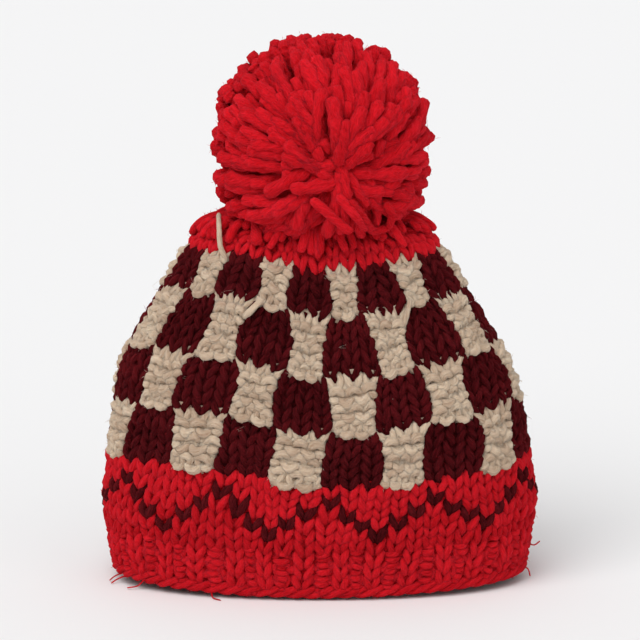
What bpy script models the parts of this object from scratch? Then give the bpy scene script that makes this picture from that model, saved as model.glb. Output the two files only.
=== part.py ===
"""A hand-knitted bobble hat, standing on its hem. Metres, +Z up, +X to the wearer's left, the front towards -Y.

The knitted wall is one oval, tapering surface. Its pieces are worked out from that surface: the ribbed hem, the
band with its zigzag line, the checked body with its inlaid squares, and the gathered crown. The bobble is
pressed down over the crown's flat top and is held by a tie that is knotted inside the hat.
"""

import math
from collections import namedtuple

import bmesh
import bpy
import numpy as np
from mathutils import Vector

# Sizes of the knitted wall
HAT_WIDTH = 0.236
HAT_DEPTH = 0.112
HEM_HEIGHT = 0.0245
BAND_HEIGHT = 0.0365
CHECKS_HEIGHT = 0.1142
CROWN_HEIGHT = 0.0228
WALL = 0.007
SIDE_LIFT = 0.0095  # how much higher a row of stitches runs at the hat's sides than at its front
FOOT_PRESS = 0.0006  # how much of that lift the hem's flat foot takes up
ROW_SKEW = 0.0035  # how much the rows run up on the front's left and down on its right, half-way to the side
TOP_SHIFT = -0.003  # how far the crown leans sideways from the hem's middle
SEAM_GAP = 0.0003  # between pieces that meet
LINE_GAP = 0.00045  # between the zigzag line and its groove, measured upright
CUT_REACH = 0.0015  # how far a cutting shape stands clear of the wall

# Sizes of the worked pattern
RIB_RELIEF = 0.0008
HEM_ROUNDING = 0.0015
LINE_HEIGHT = 0.0062
LINE_MIDDLE = 0.0150  # above the hem
LINE_DEPTH = 0.0022
SQUARE_DEPTH = 0.0026
SQUARE_RELIEF = 0.0005  # how far a square stands out of the wall
GATHER_RELIEF = 0.0012

# Sizes of the bobble and its tie
BOBBLE_WIDTH = 0.120
BOBBLE_DEPTH = 0.112
BOBBLE_HEIGHT = 0.114  # before it is pressed over the crown
BOBBLE_SINK = 0.012  # how far its round outline reaches below the crown's top
BOBBLE_SHIFT = 0.001  # sideways from the hem's middle
LOCK_LENGTH = 0.012
LOCK_TAPER = 0.68
TIE_RADIUS = 0.0032
TIE_RISE = 0.045  # how far the tie reaches up into the bobble
KNOT_RADIUS = 0.0085
KNOT_HEIGHT = 0.008

# Counts
COLUMNS = 60  # stitches round the hat
SQUARE_COLUMNS = 3
ZIGZAG_STITCHES = 6
ZIGZAG_STEPS = 3  # stitch rows from the zigzag's lowest stitch to its highest
GATHERS = 15
LOCKS = 71
TIE_SIDES = 12

# Where the pattern sits, in stitches from the front's middle
FIRST_SQUARE_MIDDLE = -2
ZIGZAG_LOW = 3

CROWN_ROWS = (0.0, 0.3, 0.55, 0.8, 1.0)  # where the crown's rows lie, from its lower edge to its flat top
TIER_SHARES = (0.254, 0.256, 0.275, 0.215)  # each tier of squares' share of the checks' height
SQUARE_WIDTHS = (0.90, 0.88, 0.82, 0.78)  # each tier's squares as a share of their three stitches' width
SQUARE_FLARE = (0.93, 0.97, 1.06)  # a square's width at its foot, its middle and its top, as a share of its own
SECTION_FULLNESS = 2.2  # exponent of the oval section: 2 is an ellipse
LIFT_CURVE = 1.2
SKEW_BALANCE = 0.43  # 0 skews both halves of the front alike, and 1 only the left one
FRONT_SPREAD = 0.30  # how much the front's stitches are drawn towards the sides, in stitches

BODY_LOW = HEM_HEIGHT + BAND_HEIGHT
CROWN_LOW = BODY_LOW + CHECKS_HEIGHT
TOP = CROWN_LOW + CROWN_HEIGHT

# The wall's sections from the hem to the crown's flat top. height is a share of TOP, width and depth of half the
# hat's, lift of SIDE_LIFT, skew of ROW_SKEW, shift of TOP_SHIFT, and drift is how many stitches the columns have
# leaned sideways.
Section = namedtuple("Section", "height width depth lift skew shift drift")
SECTIONS = (
    Section(0.000, 0.936, 0.935, 0.32, 0.00, 0.0, 0.00),
    Section(0.050, 0.965, 0.965, 0.37, 0.00, 0.0, 0.03),
    Section(0.126, 0.985, 0.985, 0.50, 0.00, 0.0, 0.10),
    Section(0.202, 1.000, 1.000, 0.70, 0.10, 0.0, 0.30),
    Section(0.278, 0.978, 1.000, 0.92, 0.80, 0.0, 0.54),
    Section(0.354, 0.962, 0.995, 1.10, 1.00, 0.1, 0.80),
    Section(0.429, 0.938, 0.975, 1.22, 1.00, 0.3, 1.05),
    Section(0.505, 0.914, 0.935, 1.30, 1.00, 0.6, 1.25),
    Section(0.581, 0.864, 0.875, 1.34, 1.00, 0.9, 1.42),
    Section(0.657, 0.796, 0.795, 1.34, 1.00, 1.0, 1.55),
    Section(0.732, 0.722, 0.715, 1.28, 1.00, 1.0, 1.62),
    Section(0.808, 0.652, 0.645, 1.16, 1.00, 1.0, 1.64),
    Section(0.859, 0.608, 0.605, 1.02, 0.85, 1.0, 1.64),
    Section(0.899, 0.576, 0.570, 0.84, 0.60, 1.0, 1.64),
    Section(0.939, 0.540, 0.525, 0.56, 0.35, 1.0, 1.64),
    Section(0.970, 0.500, 0.460, 0.25, 0.15, 1.0, 1.64),
    Section(0.990, 0.441, 0.370, 0.06, 0.04, 1.0, 1.64),
)
SEAT = Section(1.000, 0.370, 0.260, 0.00, 0.00, 1.0, 1.64)  # the edge of the crown's flat top

# Viewport colours, roughness and metallic value of the yarns
RED = (0.395, 0.008, 0.012, 1.0)
BRIGHT_RED = (0.440, 0.009, 0.016, 1.0)
MAROON = (0.050, 0.005, 0.007, 1.0)
CREAM = (0.560, 0.440, 0.310, 1.0)
YARN_ROUGHNESS = 0.9

PROFILE_SAMPLES = 2000
OVAL_SAMPLES = 720
STEP = 1e-4  # for a slope measured along the surface


def clear_scene():
    for obj in list(bpy.data.objects):
        bpy.data.objects.remove(obj, do_unlink=True)


def yarn_material(name, colour):
    """A matt woollen finish."""
    material = bpy.data.materials.new(name)
    material.diffuse_color = colour
    material.use_nodes = True
    shader = material.node_tree.nodes["Principled BSDF"]
    shader.inputs["Base Color"].default_value = colour
    shader.inputs["Roughness"].default_value = YARN_ROUGHNESS
    shader.inputs["Metallic"].default_value = 0.0
    return material


def monotone_curve(at, values):
    """A smooth curve through the values that never overshoots them, as a function of place."""
    at, values = np.asarray(at, float), np.asarray(values, float)
    chord = np.diff(values) / np.diff(at)
    slope = np.zeros(len(at))
    same_way = chord[:-1] * chord[1:] > 0
    sums = np.where(same_way, chord[:-1] + chord[1:], 1.0)
    slope[1:-1] = np.where(same_way, 2 * chord[:-1] * chord[1:] / sums, 0.0)
    slope[0], slope[-1] = chord[0], chord[-1]

    def curve(place):
        place = np.clip(place, at[0], at[-1])
        left = np.clip(np.searchsorted(at, place) - 1, 0, len(at) - 2)
        span = at[left + 1] - at[left]
        t = (place - at[left]) / span
        rise = values[left] * (1 + 2 * t) * (1 - t) ** 2 + values[left + 1] * t * t * (3 - 2 * t)
        return rise + span * (slope[left] * t * (1 - t) ** 2 - slope[left + 1] * t * t * (1 - t))

    return curve


class Wall:
    """The outside of the knitted wall. A place on it is a turn, 0 at the front and growing towards +X, and a path,
    which runs from 0 at the hem to 1 at the edge of the crown's flat top."""

    def __init__(self):
        rows = SECTIONS + (SEAT,)
        width = np.array([row.width for row in rows]) * HAT_WIDTH / 2
        height = np.array([row.height for row in rows]) * TOP
        along = np.concatenate([[0], np.cumsum(np.hypot(np.diff(width), np.diff(height)))])
        place = along / along[-1]
        self.width = monotone_curve(place, width)
        self.height = monotone_curve(place, height)
        self.depth = monotone_curve(place, [row.depth * HAT_DEPTH / 2 for row in rows])
        self.lift = monotone_curve(place, [row.lift * SIDE_LIFT for row in rows])
        self.skew = monotone_curve(place, [row.skew * ROW_SKEW for row in rows])
        self.shift = monotone_curve(place, [row.shift * TOP_SHIFT for row in rows])
        self.drift = monotone_curve(place, [row.drift / COLUMNS for row in rows])
        self.paths = np.linspace(0, 1, PROFILE_SAMPLES)
        self.heights = self.height(self.paths)

    def path_at(self, height):
        """The path where the front of the wall has this height."""
        return float(np.interp(height, self.heights, self.paths))

    def oval(self, path):
        """The section at a path: points once round from the front, and each one's share of the way round."""
        angle = np.linspace(0, 2 * math.pi, OVAL_SAMPLES + 1)
        power = 2 / SECTION_FULLNESS
        x = np.sign(np.sin(angle)) * np.abs(np.sin(angle)) ** power * self.width(path)
        y = -np.sign(np.cos(angle)) * np.abs(np.cos(angle)) ** power * self.depth(path)
        share = np.concatenate([[0], np.cumsum(np.hypot(np.diff(x), np.diff(y)))])
        return x, y, share / share[-1]

    def outside(self, turns, path):
        """Points on the outside at the given turns of one path."""
        x, y, share = self.oval(path)
        turns = np.asarray(turns, float)
        turns = turns + self.drift(path) + FRONT_SPREAD / COLUMNS * np.sin(2 * math.pi * turns)
        x, y = (np.interp(turns % 1, share, values) for values in (x, y))
        across = x / self.width(path)
        slant = np.sin(math.pi * across)
        z = self.height(path) + self.lift(path) * np.abs(across) ** LIFT_CURVE
        z = z + self.skew(path) * (SKEW_BALANCE * slant**2 - slant)
        return np.stack([x + self.shift(path), y, z], 1)

    def normals(self, turns, path):
        """Outward directions, square to the surface."""
        turns = np.asarray(turns, float)
        round_way = self.outside(turns + STEP, path) - self.outside(turns - STEP, path)
        low, high = max(path - STEP, 0), min(path + STEP, 1)
        up_way = self.outside(turns, high) - self.outside(turns, low)
        normal = np.cross(round_way, up_way)
        return normal / np.linalg.norm(normal, axis=1)[:, None]

    def at_depth(self, turns, path, depth):
        """Points this far inside the outer surface. A depth may be given for each turn."""
        depth = np.broadcast_to(np.asarray(depth, float), len(turns))
        return self.outside(turns, path) - depth[:, None] * self.normals(turns, path)


def new_object(name, bm, material):
    """Puts a finished bmesh into the scene as one named, smooth-shaded object."""
    bmesh.ops.recalc_face_normals(bm, faces=bm.faces)
    mesh = bpy.data.meshes.new(name)
    bm.to_mesh(mesh)
    bm.free()
    obj = bpy.data.objects.new(name, mesh)
    bpy.context.scene.collection.objects.link(obj)
    if material:
        mesh.materials.append(material)
        mesh.shade_smooth()
        mesh.set_sharp_from_angle(angle=math.radians(40))
    return obj


def grid_faces(bm, rows, ring):
    """Adds rows of points and the faces between them. Returns the vertices, row by row."""
    verts = [[bm.verts.new(point) for point in row] for row in rows]
    for low, high in zip(verts, verts[1:]):
        count = len(low)
        for i in range(count if ring else count - 1):
            j = (i + 1) % count
            bm.faces.new((low[i], low[j], high[j], high[i]))
    return verts


def bridge(bm, outer, inner, ring):
    """Closes the wall's edge between a row of outer vertices and the row behind it."""
    count = len(outer)
    for i in range(count if ring else count - 1):
        j = (i + 1) % count
        bm.faces.new((outer[i], outer[j], inner[j], inner[i]))


def add_slab(bm, outer_rows, inner_rows, ring):
    """Adds one closed slab of wall between an outer and an inner grid of points."""
    outer = grid_faces(bm, outer_rows, ring)
    inner = grid_faces(bm, inner_rows, ring)
    for end in (0, -1):
        bridge(bm, outer[end], inner[end], ring)
    if not ring:
        for side in (0, -1):
            bridge(bm, [row[side] for row in outer], [row[side] for row in inner], False)


def boundary_turns():
    """Turns once round the hat, on the boundaries between stitches."""
    return (np.arange(COLUMNS) - 0.5) / COLUMNS


def cut_out(obj, cutter):
    """Cuts the helper's shape out of the object, and keeps the helper out of the model."""
    cutter.hide_render = True
    cutter.display_type = "WIRE"
    modifier = obj.modifiers.new(cutter.name, "BOOLEAN")
    modifier.operation = "DIFFERENCE"
    modifier.solver = "EXACT"
    modifier.object = cutter


def make_hem(wall, material):
    """The ribbed hem: knit columns stand out and purl columns lie back, over a rounded edge with a flat foot."""
    turns = np.arange(COLUMNS) / COLUMNS
    rib = RIB_RELIEF * (-1.0) ** np.arange(COLUMNS)
    rounded = wall.path_at(HEM_ROUNDING)
    top = wall.path_at(HEM_HEIGHT - SEAM_GAP / 2)
    outer = [wall.at_depth(turns, 0.0, HEM_ROUNDING - rib)]
    outer += [wall.at_depth(turns, path, -rib) for path in (rounded, top)]
    inner = [wall.at_depth(turns, path, WALL) for path in (0.0, top)]
    for row in (outer[0], inner[0]):
        row[:, 2] = np.maximum(wall.outside(turns, 0.0)[:, 2] - FOOT_PRESS, 0)
    bm = bmesh.new()
    add_slab(bm, outer, inner, ring=True)
    return new_object("ribbed_hem", bm, material)


def zigzag_rows(wall, inset, outer_depth, inner_depth):
    """Point rows of the zigzag line: its outer and inner faces, each a lower and an upper edge."""
    stitches = np.arange(2 * COLUMNS) / 2
    turns = stitches / COLUMNS
    half = ZIGZAG_STITCHES / 2
    steps = np.abs((stitches - ZIGZAG_LOW + half) % ZIGZAG_STITCHES - half)
    middle = HEM_HEIGHT + LINE_MIDDLE
    centre = middle + (steps / ZIGZAG_STEPS - 0.5) * LINE_HEIGHT * ZIGZAG_STEPS
    reach = LINE_HEIGHT / 2 - inset
    faces = []
    for depth in (outer_depth, inner_depth):
        edges = []
        for side in (-reach, reach):
            points = [
                wall.at_depth(turns[i : i + 1], wall.path_at(centre[i] + side), depth)[0]
                for i in range(len(turns))
            ]
            edges.append(np.array(points))
        faces.append(edges)
    return faces


def make_band(wall, material, line_material):
    """The band above the hem, with a groove for its zigzag line, and the line."""
    turns = boundary_turns()
    low = wall.path_at(HEM_HEIGHT + SEAM_GAP / 2)
    high = wall.path_at(BODY_LOW - SEAM_GAP / 2)
    bm = bmesh.new()
    outer = [wall.at_depth(turns, path, 0.0) for path in (low, (low + high) / 2, high)]
    inner = [wall.at_depth(turns, path, WALL) for path in (low, high)]
    add_slab(bm, outer, inner, ring=True)
    band = new_object("zigzag_band", bm, material)

    bm = bmesh.new()
    add_slab(bm, *zigzag_rows(wall, 0.0, -CUT_REACH, LINE_DEPTH + SEAM_GAP), ring=True)
    cut_out(band, new_object("zigzag_groove", bm, None))

    bm = bmesh.new()
    add_slab(bm, *zigzag_rows(wall, LINE_GAP, 0.0, LINE_DEPTH), ring=True)
    return band, new_object("zigzag_line", bm, line_material)


def tier_heights():
    """Heights of the boundaries between the tiers of squares, from the lowest up."""
    return BODY_LOW + CHECKS_HEIGHT * np.concatenate([[0], np.cumsum(TIER_SHARES)])


def square_places():
    """Each inlaid square as a tier from 1, a number from 1 and its middle stitch."""
    period = 2 * SQUARE_COLUMNS
    for tier in range(len(TIER_SHARES)):
        start = FIRST_SQUARE_MIDDLE + (tier % 2) * SQUARE_COLUMNS
        for number in range(COLUMNS // period):
            yield tier + 1, number + 1, start + number * period


def add_square(bm, wall, tier, middle, inset, outer_depth, inner_depth):
    """Adds the closed slab of one square, set in from its nominal outline by an even margin."""
    low, high = tier_heights()[tier - 1 : tier + 1]
    rows = []
    for height, flare in zip((low + inset, (low + high) / 2, high - inset), SQUARE_FLARE):
        path = wall.path_at(height)
        half = SQUARE_COLUMNS / 2 * SQUARE_WIDTHS[tier - 1] * flare
        turns = (middle + np.linspace(-half, half, SQUARE_COLUMNS + 1)) / COLUMNS
        x, y, _ = wall.oval(path)
        margin = inset / np.hypot(np.diff(x), np.diff(y)).sum()
        turns[0] += margin
        turns[-1] -= margin
        rows.append((turns, path))
    outer = [wall.at_depth(turns, path, outer_depth) for turns, path in rows]
    inner = [wall.at_depth(turns, path, inner_depth) for turns, path in rows]
    add_slab(bm, outer, inner, ring=False)


def make_body(wall, material, square_material):
    """The checked body, with a pocket in its outside for each square, and the squares."""
    turns = boundary_turns()
    heights = tier_heights()
    heights[0] += SEAM_GAP / 2
    heights[-1] -= SEAM_GAP / 2
    middles = (heights[:-1] + heights[1:]) / 2
    bm = bmesh.new()
    outer = [wall.at_depth(turns, wall.path_at(z), 0.0) for z in sorted([*heights, *middles])]
    inner = [wall.at_depth(turns, wall.path_at(z), WALL) for z in heights]
    add_slab(bm, outer, inner, ring=True)
    body = new_object("checked_body", bm, material)

    pockets = bmesh.new()
    for tier, number, middle in square_places():
        add_square(pockets, wall, tier, middle, SEAM_GAP, -CUT_REACH, SQUARE_DEPTH + SEAM_GAP)
        bm = bmesh.new()
        add_square(bm, wall, tier, middle, 2 * SEAM_GAP, -SQUARE_RELIEF, SQUARE_DEPTH)
        new_object(f"square_{tier}_{number:02d}", bm, square_material)
    cut_out(body, new_object("square_pockets", pockets, None))
    return body


def ring_points(centre, radius, height):
    """A level ring with one point for each column."""
    way = 2 * math.pi * boundary_turns()
    return np.stack([centre + radius * np.sin(way), -radius * np.cos(way), np.full(COLUMNS, height)], 1)


def crown_rows(wall, shares, outward):
    """Point rows over the crown's outside, folded into gathers, pushed outward by a distance."""
    turns = boundary_turns()
    low = wall.path_at(CROWN_LOW + SEAM_GAP / 2)
    rows = []
    for share in shares:
        fold = GATHER_RELIEF * share * (1 - share) * 4 * np.cos(2 * math.pi * GATHERS * turns)
        rows.append(wall.at_depth(turns, low + share * (1 - low), -fold - outward))
    return rows


def make_crown(wall, material):
    """The gathered crown: it draws in over a shoulder to a flat top with a small hole for the tie."""
    outer = crown_rows(wall, CROWN_ROWS, 0.0)
    turns = boundary_turns()
    low = wall.path_at(CROWN_LOW + SEAM_GAP / 2)
    inner = [wall.at_depth(turns, low + share * (1 - low), WALL) for share in (0.0, 0.4, 1.0)]
    centre = wall.shift(1.0)
    for rows, height in ((outer, TOP), (inner, TOP - WALL)):
        rows[-1][:, 2] = height
        rows.append(ring_points(centre, TIE_RADIUS + SEAM_GAP, height))
    bm = bmesh.new()
    add_slab(bm, outer, inner, ring=True)
    return new_object("gathered_crown", bm, material)


def crown_print(wall):
    """The crown's outside with a gap round it, as one solid to press into the bobble."""
    rows = crown_rows(wall, CROWN_ROWS, 2 * SEAM_GAP)
    rows[-1][:, 2] = TOP + 2 * SEAM_GAP
    bm = bmesh.new()
    verts = grid_faces(bm, rows, ring=True)
    bm.faces.new(verts[0])
    bm.faces.new(verts[-1])
    return new_object("crown_print", bm, None)


def bobble_reach(direction):
    """How far the bobble's outline lies from its middle in a direction."""
    parts = zip(direction, (BOBBLE_WIDTH / 2, BOBBLE_DEPTH / 2, BOBBLE_HEIGHT / 2))
    return sum((value / radius) ** 2 for value, radius in parts) ** -0.5


def spread_directions(count):
    """Directions spread evenly over a ball on a golden spiral."""
    golden = math.pi * (3 - math.sqrt(5))
    for i in range(count):
        z = 1 - (2 * i + 1) / count
        across = math.sqrt(1 - z * z)
        yield Vector((across * math.cos(golden * i), across * math.sin(golden * i), z))


def cell_corners(vert, corners):
    """The corners of the cell round one hull vertex, in order."""
    way = vert.co.normalized()
    side = way.orthogonal().normalized()
    up = way.cross(side)

    def bearing(face):
        arm = face.calc_center_median() - vert.co
        return math.atan2(arm.dot(up), arm.dot(side))

    return [corners[face.index] for face in sorted(vert.link_faces, key=bearing)]


def make_bobble(wall, material):
    """The bobble: a ball of cells, each drawn out into a lock of yarn, pressed over the crown and the tie."""
    hull = bmesh.new()
    for direction in spread_directions(LOCKS):
        hull.verts.new(direction)
    bmesh.ops.convex_hull(hull, input=hull.verts)
    hull.faces.index_update()

    core = 1 - LOCK_LENGTH / (BOBBLE_HEIGHT / 2)
    bm = bmesh.new()
    corners = []
    for face in hull.faces:
        way = face.calc_center_median().normalized()
        corners.append(bm.verts.new(way * bobble_reach(way) * core))
    cells = [(bm.faces.new(cell_corners(vert, corners)), vert.co.normalized()) for vert in hull.verts]
    hull.free()
    bmesh.ops.recalc_face_normals(bm, faces=bm.faces)
    for number, (cell, way) in enumerate(cells):
        length = LOCK_LENGTH * (0.9 + 0.2 * math.cos(2.4 * number))
        lock = bmesh.ops.extrude_discrete_faces(bm, faces=[cell])["faces"][0]
        centre = lock.calc_center_median()
        for vert in lock.verts:
            vert.co = centre + (vert.co - centre) * LOCK_TAPER + way * length
    middle = (BOBBLE_SHIFT, 0, TOP - BOBBLE_SINK + BOBBLE_HEIGHT / 2)
    bmesh.ops.translate(bm, verts=bm.verts, vec=middle)
    bobble = new_object("bobble", bm, material)
    cut_out(bobble, crown_print(wall))

    bm = bmesh.new()
    radius = TIE_RADIUS + SEAM_GAP
    socket = WALL + TIE_RISE + SEAM_GAP
    bmesh.ops.create_cone(
        bm, cap_ends=True, segments=TIE_SIDES, radius1=radius, radius2=radius, depth=socket
    )
    bmesh.ops.translate(bm, verts=bm.verts, vec=(wall.shift(1.0), 0, TOP - WALL + socket / 2))
    cut_out(bobble, new_object("tie_socket", bm, None))
    return bobble


def make_tie(wall, material):
    """The tie: a stem through the crown's hole into the bobble, and its knot against the crown's inside."""
    knot_top = TOP - WALL - SEAM_GAP
    middle = knot_top - KNOT_HEIGHT / 2
    profile = [(0.0, knot_top - KNOT_HEIGHT)]
    for angle in (30, 60, 90, 120):
        slant = math.radians(angle)
        profile.append((KNOT_RADIUS * math.sin(slant), middle - KNOT_HEIGHT / 2 * math.cos(slant)))
    profile += [(TIE_RADIUS * 1.6, knot_top), (TIE_RADIUS, knot_top), (TIE_RADIUS, TOP + TIE_RISE)]
    profile.append((0.0, TOP + TIE_RISE))
    bm = bmesh.new()
    verts = [bm.verts.new((radius, 0, height)) for radius, height in profile]
    edges = [bm.edges.new(pair) for pair in zip(verts, verts[1:])]
    bmesh.ops.spin(
        bm, geom=verts + edges, cent=(0, 0, 0), axis=(0, 0, 1), angle=2 * math.pi, steps=TIE_SIDES,
        use_merge=True,
    )
    bmesh.ops.remove_doubles(bm, verts=bm.verts, dist=SEAM_GAP / 10)
    bmesh.ops.translate(bm, verts=bm.verts, vec=(wall.shift(1.0), 0, 0))
    return new_object("bobble_tie", bm, material)


def main():
    clear_scene()
    red = yarn_material("red_yarn", RED)
    bright_red = yarn_material("bobble_yarn", BRIGHT_RED)
    maroon = yarn_material("maroon_yarn", MAROON)
    cream = yarn_material("cream_yarn", CREAM)
    wall = Wall()
    make_hem(wall, red)
    make_band(wall, red, maroon)
    make_body(wall, maroon, cream)
    make_crown(wall, red)
    make_bobble(wall, bright_red)
    make_tie(wall, bright_red)


main()
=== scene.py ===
"""The looks of a hand-knitted bobble hat: every stitch is a loop of yarn that follows the hat's wall."""

import math
from collections import namedtuple
from itertools import accumulate

import bpy
import numpy as np
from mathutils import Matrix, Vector

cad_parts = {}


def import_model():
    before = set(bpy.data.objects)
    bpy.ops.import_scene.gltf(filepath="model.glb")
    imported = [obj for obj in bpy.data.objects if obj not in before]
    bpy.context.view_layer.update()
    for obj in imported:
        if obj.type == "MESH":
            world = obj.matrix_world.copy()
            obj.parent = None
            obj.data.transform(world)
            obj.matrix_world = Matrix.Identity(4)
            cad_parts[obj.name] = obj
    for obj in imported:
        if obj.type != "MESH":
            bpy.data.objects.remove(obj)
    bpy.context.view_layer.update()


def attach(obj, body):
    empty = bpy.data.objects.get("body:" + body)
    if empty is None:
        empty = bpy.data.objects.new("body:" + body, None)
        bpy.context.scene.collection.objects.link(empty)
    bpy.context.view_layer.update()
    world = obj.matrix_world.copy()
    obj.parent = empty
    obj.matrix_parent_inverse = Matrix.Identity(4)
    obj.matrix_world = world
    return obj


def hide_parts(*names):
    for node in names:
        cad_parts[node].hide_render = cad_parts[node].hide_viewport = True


# The wall's sizes in metres, as the solids have them
HAT_WIDTH = 0.236
HAT_DEPTH = 0.112
HEM_HEIGHT = 0.0245
BAND_HEIGHT = 0.0365
CHECKS_HEIGHT = 0.1142
CROWN_HEIGHT = 0.0228
SIDE_LIFT = 0.0095  # how much higher the rows run at the hat's sides
ROW_SKEW = 0.0035  # how much the rows run up on the front's left and down on its right
TOP_SHIFT = -0.003  # the crown's sideways lean
COLUMNS = 60
TIER_SHARES = (0.254, 0.256, 0.275, 0.215)  # of the checks' height
SECTION_FULLNESS = 2.2  # the oval's exponent: 2 is an ellipse
LIFT_CURVE = 1.2  # the exponent of the rows' rise towards the sides
SKEW_BALANCE = 0.43  # 0 skews both halves of the front alike, and 1 only the left one
FRONT_SPREAD = 0.30  # stitches that the front is drawn towards the sides
BODY_LOW = HEM_HEIGHT + BAND_HEIGHT
CROWN_LOW = BODY_LOW + CHECKS_HEIGHT
TOP = CROWN_LOW + CROWN_HEIGHT

# The wall's sections from the hem up: height as a share of TOP, width and depth of half the hat's, lift of SIDE_LIFT,
# skew of ROW_SKEW, shift of TOP_SHIFT, and how many stitches the columns have drifted sideways
SECTIONS = (
    (0.000, 0.936, 0.935, 0.32, 0.00, 0.0, 0.00),
    (0.050, 0.965, 0.965, 0.37, 0.00, 0.0, 0.03),
    (0.126, 0.985, 0.985, 0.50, 0.00, 0.0, 0.10),
    (0.202, 1.000, 1.000, 0.70, 0.10, 0.0, 0.30),
    (0.278, 0.978, 1.000, 0.92, 0.80, 0.0, 0.54),
    (0.354, 0.962, 0.995, 1.10, 1.00, 0.1, 0.80),
    (0.429, 0.938, 0.975, 1.22, 1.00, 0.3, 1.05),
    (0.505, 0.914, 0.935, 1.30, 1.00, 0.6, 1.25),
    (0.581, 0.864, 0.875, 1.34, 1.00, 0.9, 1.42),
    (0.657, 0.796, 0.795, 1.34, 1.00, 1.0, 1.55),
    (0.732, 0.722, 0.715, 1.28, 1.00, 1.0, 1.62),
    (0.808, 0.652, 0.645, 1.16, 1.00, 1.0, 1.64),
    (0.859, 0.608, 0.605, 1.02, 0.85, 1.0, 1.64),
    (0.899, 0.576, 0.570, 0.84, 0.60, 1.0, 1.64),
    (0.939, 0.540, 0.525, 0.56, 0.35, 1.0, 1.64),
    (0.970, 0.500, 0.460, 0.25, 0.15, 1.0, 1.64),
    (0.990, 0.441, 0.370, 0.06, 0.04, 1.0, 1.64),
    (1.000, 0.370, 0.260, 0.00, 0.00, 1.0, 1.64),
)

# The bobble
BOBBLE_CENTRE = np.array([0.001, 0.0, 0.243])
BOBBLE_RADII = np.array([0.0585, 0.054, 0.0547])
BOBBLE_FRONT = (0.19, -0.93, -0.32)  # the way to its front parting
BOBBLE_STRANDS = 330  # in each layer
STRAND_RADII = (0.0029, 0.0040)
UNEVENNESS = 0.08  # of the strands' directions
PARTING_SCATTER = 0.13
SWAY = 0.15  # how far the strands bend sideways
STRAND_REST = 0.0026  # how far a strand's middle stays above the crown
CROWN_SHARE = 0.80  # of TOP, above which the strands may lie on the wall
SKIRT_STRANDS = 130
SKIRT_RADII = (0.0020, 0.0027)
CORE_SHARE = 0.74  # of the bobble's radii
CORE_WALL = 0.1  # share of the bobble's radii
EQUATOR = 1.66  # radians from the parting to the last tips
PARTING = 0.28  # radians to the nearest ones
HOLLOW = 0.17  # how far the bobble sinks in at a parting, as a share of its reach
HOLLOW_WIDTH = 0.55  # radians
SEAM_WIDTH = 0.56  # how far from the seam between front and back the strands lean less
UPPER_FULLNESS = 2.08  # the upright outline's exponents
LOWER_FULLNESS = 3.2

# How much of its lean a strand has at its root and its two bends, and how near the parting each may come, in radians
BENDS = ((1.7, 0.03), (1.25, 0.05), (0.75, 0.07))

# A layer of the bobble's strands: the sides and rings of a strand's tube, the least and greatest reach of the tips,
# how far the strands lean in towards the parting, and the first two bends' shares of the reach
Layer = namedtuple("Layer", "sides rings low high lean near_root near_tip")
LAYERS = (Layer(8, 20, 0.94, 1.0, 1.15, 0.50, 0.84), Layer(6, 12, 0.86, 0.96, 0.85, 0.36, 0.70))

# Yarn and stitches
YARN = 0.00215  # radius
CREAM_YARN = 0.00225
YARN_SHARE = 0.23  # the most that a radius takes of a stitch's width
CREAM_SHARE = 0.245
TOP_ROW_WIDTH = 1.1  # how much thicker a square's top row may be
UPPER_WIDTH = 0.82  # the same for the upper tier
LOOP_SPREAD = 0.23  # how far a loop's head spreads, in stitches
LOOP_REACH = 0.80  # half a loop's height, in rows
PURL_REACH = 0.70
TOP_REACH = 0.92
END_TRIM = 0.35  # radians that a run of one yarn leaves out at its ends
END_SINK = 0.0012  # how far its ends sink into the cloth
STRAY = (0.05, 0.06, 0.0003, 0.10)  # unevenness: aside in stitches, up in rows, outward, share of radius
BUMP_STEP = 0.74  # between two lines of purl bumps in a square, in rows
DRAWN_IN = (0.30, 0.34, 0.42, 0.46)  # stitches that the sides of each tier's squares are drawn in
DRAW_ROWS = (0.5, 2.2)  # rows in which they draw in above the foot and spread again below the top
WAVES = 9  # of the cloth's wander
WANDER = (0.055, 0.045)  # aside in stitches and up in rows
ROW_RISE = 0.25  # how far a loop sits above its row's middle, in rows
LOOP_DEPTH = 0.0017  # how far a loop swings to the front and back of the cloth
CLOTH_DEPTH = -0.0030  # the cloth's middle, from the outer surface
BACKING_COLUMNS = 120
BACKING_HALF = 0.0003  # half the backing's thickness
BACKING_LOW = 0.004
LID_SHARES = (0.66, 0.33, 0.03)  # of the crown's last row, for the rings that close the backing
ROPE_HEIGHT = 0.0041  # of the cast-on edge's middle
ROPE_REACH = 0.0019
ROPE_YARN = 0.0020
SQUARE_BUMP = 0.00245  # radius
RIB_BUMP = 0.0019
BUMP_DROP = 0.0030  # how far a bump's ends sink
PADDING_YARN = 0.0030
PADDING_SINK = 0.0006
FLOAT_YARN = YARN * 0.85
FLOAT_SINK = 0.0012
FLOAT_SLACK = 0.0028
KNOT_YARN = 0.0018
KNOT_REACH = 0.0021
KNOT_DROP = 0.0125  # from the crown's top
TAIL_YARN = 0.0017
TWIST = 160.0  # of the fibres, in radians a metre
LOOSE_TWIST = 90.0
STEPS = 14  # segments along one stitch
SIDES = 7  # of a tube of yarn
FEW_SIDES = 6
FLOOR_GAP = 0.0002
TINY = 1e-12
HAIR_RADIUS = 0.00012
HAIR_STAND = (0.2, 0.9)  # how steeply hairs stand on the yarn
HAIR_LENGTHS = (0.0012, 0.0040)
LONG_HAIRS = (0.0015, 0.0050)
BOBBLE_HAIRS = (0.0012, 0.0042)
FLYAWAY_RADIUS = 0.00005
FLYAWAY_LENGTHS = (0.006, 0.012)

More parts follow.
